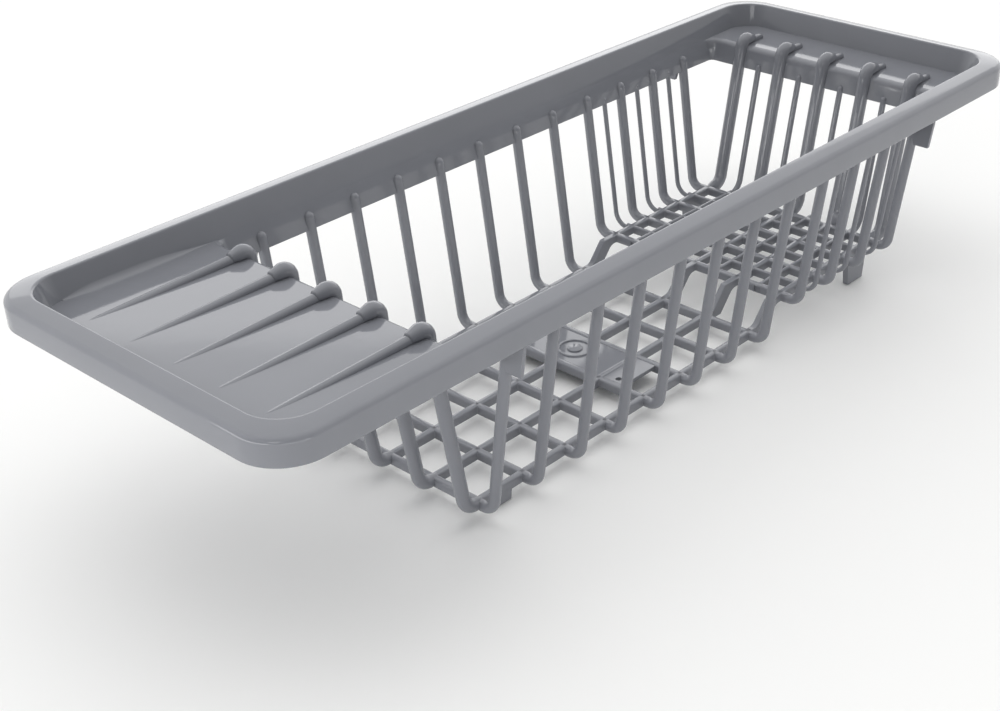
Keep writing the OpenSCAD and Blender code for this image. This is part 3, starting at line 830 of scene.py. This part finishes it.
def buildBrace(name, node, s):
    (x0, y0, z0), (x1, y1, z1) = nodeBox(node)
    side = 1 if y0 > 0 else -1
    skirt = halfWidth - rimSizes["thickness"]

    def wallOut(depth):
        return halfWidth - rimSizes["width"] + collarSizes["thickness"] - wallLean * depth
    depth = top - z0
    outline = [(skirt, s["braceTop"]), (skirt, rimSizes["skirtHeight"]), (skirt - s["braceOuterRun"], depth),
               (wallOut(collarSizes["depth"]) + s["braceInnerRun"], depth),
               (wallOut(collarSizes["depth"]), collarSizes["depth"]), (wallOut(s["braceTop"]), s["braceTop"])]
    shape = Shape()
    shape.loft([[(x, side * u, top - d) for u, d in outline] for x in (x0, x1)])
    finishPiece(name, shape, [node], bevel=s["braceEdge"])


def buildFoot(name, node, s):
    (x0, y0, z0), (x1, y1, z1) = nodeBox(node)
    flare = math.tan(math.radians(s["footTaper"])) * (z1 - z0)
    root = z1 + s["footRoot"]
    outline = [(x0 + flare, z0), (x1 - flare, z0), (x1, z1), (x1, root), (x0, root), (x0, z1)]
    shape = Shape()
    shape.loft([[(x, y, z) for x, z in outline] for y in (y0, y1)])
    finishPiece(name, shape, [node], bevel=s["footEdge"])


for end in ("left", "right"):
    for side in ("front", "back"):
        place = side.capitalize() + end.capitalize()
        buildBrace("brace" + place, "brace_%s_%s" % (side, end), smallSizes)
        buildFoot("foot" + place, "foot_%s_%s" % (side, end), smallSizes)
print("braces and feet built")

# ---- Studio: pale floor, broad soft lights, camera ----

# Each softbox: its place, the point that it looks at, its width and height, all in metres, and its watts
studio = {
    "floorSize": 14.0,
    "floorColour": "#f4f4f3",
    "skyTowards": (0.60, 0.66, 0.45),
    "skyFrom": -0.5,
    "skyTo": 0.6,
    "skyBright": 1.3,
    "skyDim": 0.25,
    "softboxes": {
        "topSoftbox": ((0.1, 0.15, 1.6), (0, 0, 0), (1.6, 1.2), 1.7),
        "backSoftbox": ((1.47, 1.35, 0.72), (0, 0, 0.1), (2.8, 0.9), 7.5),
        "leftSoftbox": ((-1.3, -0.7, 0.9), (0, 0, 0.05), (0.5, 0.5), 2.1),
        "lowLeftPanel": ((-0.95, 0.1, 0.08), (0, 0, 0.08), (1.0, 0.14), 2.2),
        "lowFrontPanel": ((-0.5, -0.95, 0.06), (-0.1, 0, 0.06), (0.9, 0.14), 1.6),
        "rightSoftbox": ((1.3, -0.9, 0.7), (0, 0, 0.05), (0.8, 0.6), 0.1),
    },
}


def addFloor(s):
    bpy.ops.mesh.primitive_plane_add(size=s["floorSize"], location=(0, 0, startBounds[0].z - 0.0002))
    floor = bpy.context.object
    floor.name = "studioFloor"
    paper = bpy.data.materials.new("mattePaper")
    paper.use_nodes = True
    paper.node_tree.nodes["Principled BSDF"].inputs["Base Color"].default_value = toLinear(s["floorColour"])
    paper.node_tree.nodes["Principled BSDF"].inputs["Roughness"].default_value = 0.9
    floor.data.materials.append(paper)


def addSoftbox(name, place, target, size, watts):
    light = bpy.data.lights.new(name, "AREA")
    light.shape = "RECTANGLE"
    light.size, light.size_y = size
    light.energy = watts
    holder = bpy.data.objects.new(name, light)
    holder.location = place
    holder.rotation_euler = (Vector(target) - Vector(place)).to_track_quat("-Z", "Y").to_euler()
    bpy.context.scene.collection.objects.link(holder)


def addStudio(s):
    world = bpy.data.worlds.new("studioSky")
    bpy.context.scene.world = world
    world.use_nodes = True
    links = world.node_tree.links
    background = world.node_tree.nodes["Background"]
    direction = addNode(world, "ShaderNodeTexCoord")
    towards = addNode(world, "ShaderNodeVectorMath", operation="DOT_PRODUCT")
    towards.inputs[1].default_value = s["skyTowards"]
    rise = addNode(world, "ShaderNodeMapRange", interpolation_type="SMOOTHSTEP")
    rise.inputs["From Min"].default_value = s["skyFrom"]
    rise.inputs["From Max"].default_value = s["skyTo"]
    rise.inputs["To Min"].default_value = s["skyDim"]
    rise.inputs["To Max"].default_value = s["skyBright"]
    background.inputs["Color"].default_value = (1, 1, 1, 1)
    links.new(direction.outputs["Generated"], towards.inputs[0])
    links.new(towards.outputs["Value"], rise.inputs["Value"])
    links.new(rise.outputs["Result"], background.inputs["Strength"])
    bpy.context.scene.view_settings.view_transform = "Standard"
    addFloor(s)
    for name, (place, target, size, watts) in s["softboxes"].items():
        addSoftbox(name, place, target, size, watts)


addStudio(studio)

cameraSizes = {
    "place": (-0.48744, -0.42950, 0.37139),
    "yaw": -47.219,
    "pitch": 29.818,
    "roll": -1.290,
    "lens": 57.09,
    "shift": (-0.04337, 0.00978),
}


def addCamera(s):
    yaw, pitch, roll = (math.radians(s[k]) for k in ("yaw", "pitch", "roll"))
    back = Vector((math.sin(yaw) * math.cos(pitch), -math.cos(yaw) * math.cos(pitch), math.sin(pitch)))
    right = Vector((math.cos(yaw), math.sin(yaw), 0))
    up = back.cross(right)
    axisX = right * math.cos(roll) + up * math.sin(roll)
    axisY = up * math.cos(roll) - right * math.sin(roll)
    data = bpy.data.cameras.new("camera")
    data.sensor_width = 36
    data.lens = s["lens"]
    data.shift_x, data.shift_y = s["shift"]
    camera = bpy.data.objects.new("camera", data)
    turn = Matrix((axisX, axisY, back)).transposed().to_4x4()
    camera.matrix_world = Matrix.Translation(s["place"]) @ turn
    bpy.context.scene.collection.objects.link(camera)
    bpy.context.scene.camera = camera


addCamera(cameraSizes)
print("studio set")
